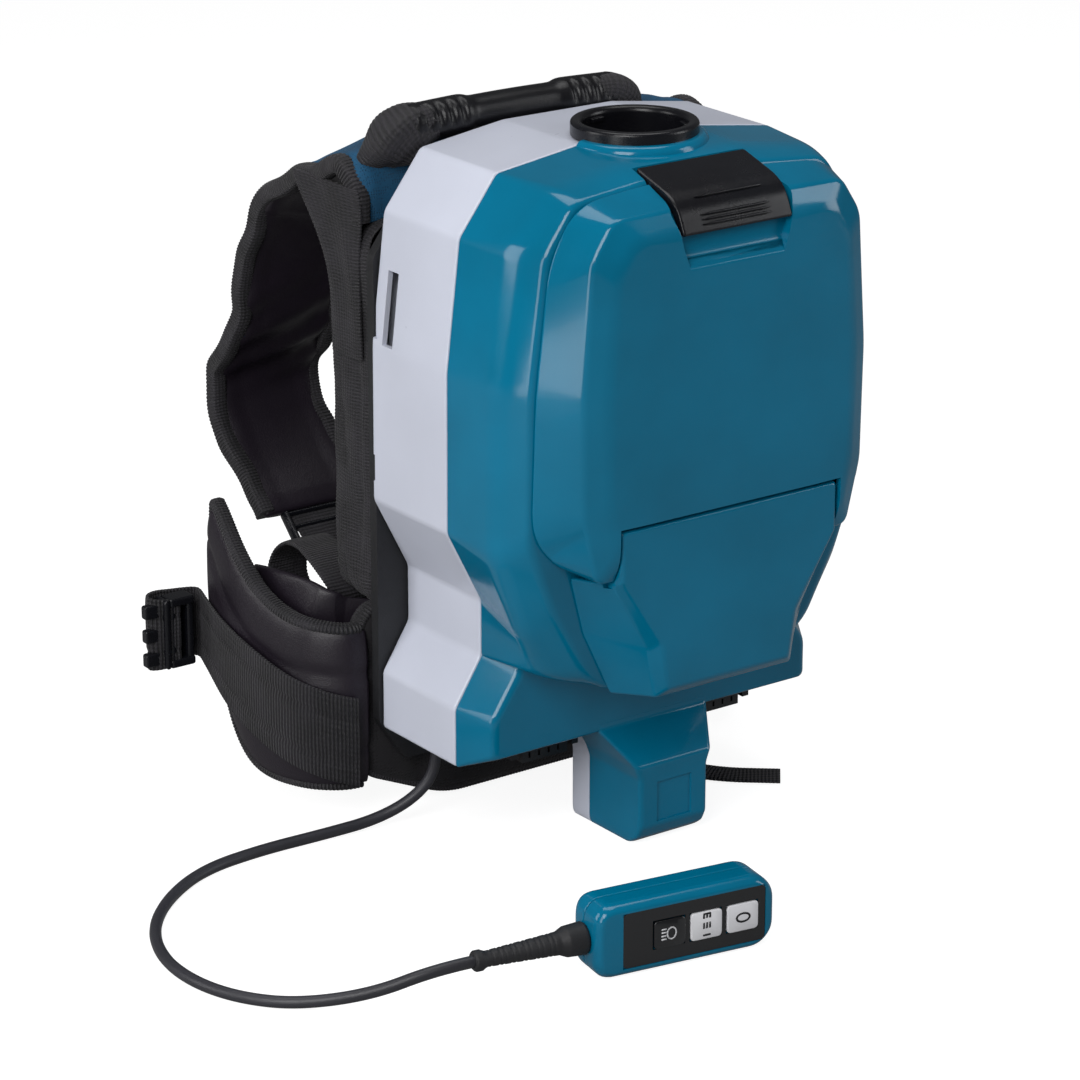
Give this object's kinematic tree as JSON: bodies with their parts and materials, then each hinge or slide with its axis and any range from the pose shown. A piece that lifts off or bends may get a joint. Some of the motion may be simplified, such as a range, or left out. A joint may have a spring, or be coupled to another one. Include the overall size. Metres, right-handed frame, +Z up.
{
  "type": "backpack vacuum cleaner",
  "caption": "Cordless backpack vacuum cleaner with hinged dust-bag lid, top hose socket, stand leg between two battery bays, padded harness and corded remote control.",
  "frame": {"origin": "centre of the stand leg's foot on the floor, on the housing's symmetry plane and directly under the hose socket", "axes": "+Z up along the hose socket axis, +Y towards the wearer's back, +X to the right when looking at the lid"},
  "size_m": [0.4776, 0.3928, 0.377],
  "materials": {
    "housing_white": "fine satin moulded",
    "housing_teal": "gloss moulded",
    "black_plastic": "fine grained moulded",
    "panel_black": "satin film",
    "key_white": "satin moulded",
    "rubber": "matte",
    "steel": "bright zinc",
    "aluminium": "as cast",
    "copper_windings": "enamelled wire",
    "bag_fleece": "non-woven fleece",
    "bag_card": "plain card",
    "filter_paper": "pleated",
    "circuit_board": "solder mask",
    "pad_mesh": "air mesh",
    "strap_fabric": "woven with ribbed binding",
    "webbing": "ribbed webbing"
  },
  "bodies": {
    "root": {"back_pad": "pad_mesh", "back_plate": "black_plastic", "bag_collar": "bag_card", "battery_terminals": "black_plastic", "belt_tail": "webbing", "buckle_female": "black_plastic", "buckle_male": "black_plastic", "carry_grip": "rubber", "control_board": "circuit_board", "cord": "rubber", "cord_gland": "rubber", "dust_bag": "bag_fleece", "fan_shroud": "black_plastic", "filter_frame": "black_plastic", "filter_pleats": "filter_paper", "front_housing": "housing_teal", "handle_webbing": "webbing", "hose_socket": "black_plastic", "housing_screws": "steel", "key_panel": "panel_black", "ladder_buckles": "black_plastic", "lid_hinge_pins": "steel", "lid_seal": "rubber", "lower_cover": "housing_teal", "lumbar_pad": "pad_mesh", "motor_bearings": "steel", "motor_bulkhead": "black_plastic", "motor_housing": "aluminium", "motor_mounts": "rubber", "plate_screws": "steel", "pull_webbing_left": "webbing", "pull_webbing_right": "webbing", "rear_shell": "housing_white", "remote_back_shell": "housing_teal", "remote_board": "circuit_board", "remote_clip": "black_plastic", "remote_front_shell": "housing_teal", "remote_screws": "steel", "remote_strain_relief": "rubber", "shoulder_strap_left": "strap_fabric", "shoulder_strap_right": "strap_fabric", "socket_seal": "rubber", "stator": "copper_windings", "waist_webbing_left": "webbing", "waist_webbing_right": "webbing", "waist_wing_left": "pad_mesh", "waist_wing_right": "pad_mesh"},
    "lid_body": {"lid": "housing_teal", "latch_pin": "steel", "latch_spring": "steel"},
    "latch_body": {"lid_latch": "black_plastic"},
    "rotor_body": {"rotor_shaft": "steel", "impeller": "aluminium"},
    "stop_key_body": {"stop_key": "key_white"},
    "speed_key_body": {"speed_key": "key_white"},
    "light_key_body": {"light_key": "panel_black"}
  },
  "joints": [
    {"name": "lid_hinge", "type": "hinge", "parent": "root", "child": "lid_body", "pos_m": [0, -0.073, 0.17], "axis": [1, 0, 0], "range_deg": [0, 90]},
    {"name": "latch_pull", "type": "hinge", "parent": "lid_body", "child": "latch_body", "pos_m": [0, -0.0615, 0.351], "axis": [-1, 0, 0], "range_deg": [0, 8], "stiffness_Nm_per_rad": 0.08, "springref_deg": -17.19},
    {"name": "rotor_spin", "type": "hinge", "parent": "root", "child": "rotor_body", "pos_m": [0, 0.018, 0.1], "axis": [0, 0, 1], "continuous": true},
    {"name": "stop_key_press", "type": "slide", "parent": "root", "child": "stop_key_body", "axis": [0.1576, 0.9875, 0], "range_m": [0, 0.001], "stiffness_N_per_m": 300, "springref_m": -0.0005},
    {"name": "speed_key_press", "type": "slide", "parent": "root", "child": "speed_key_body", "axis": [0.1576, 0.9875, 0], "range_m": [0, 0.001], "stiffness_N_per_m": 300, "springref_m": -0.0005},
    {"name": "light_key_press", "type": "slide", "parent": "root", "child": "light_key_body", "axis": [0.1576, 0.9875, 0], "range_m": [0, 0.001], "stiffness_N_per_m": 300, "springref_m": -0.0005}
  ]
}
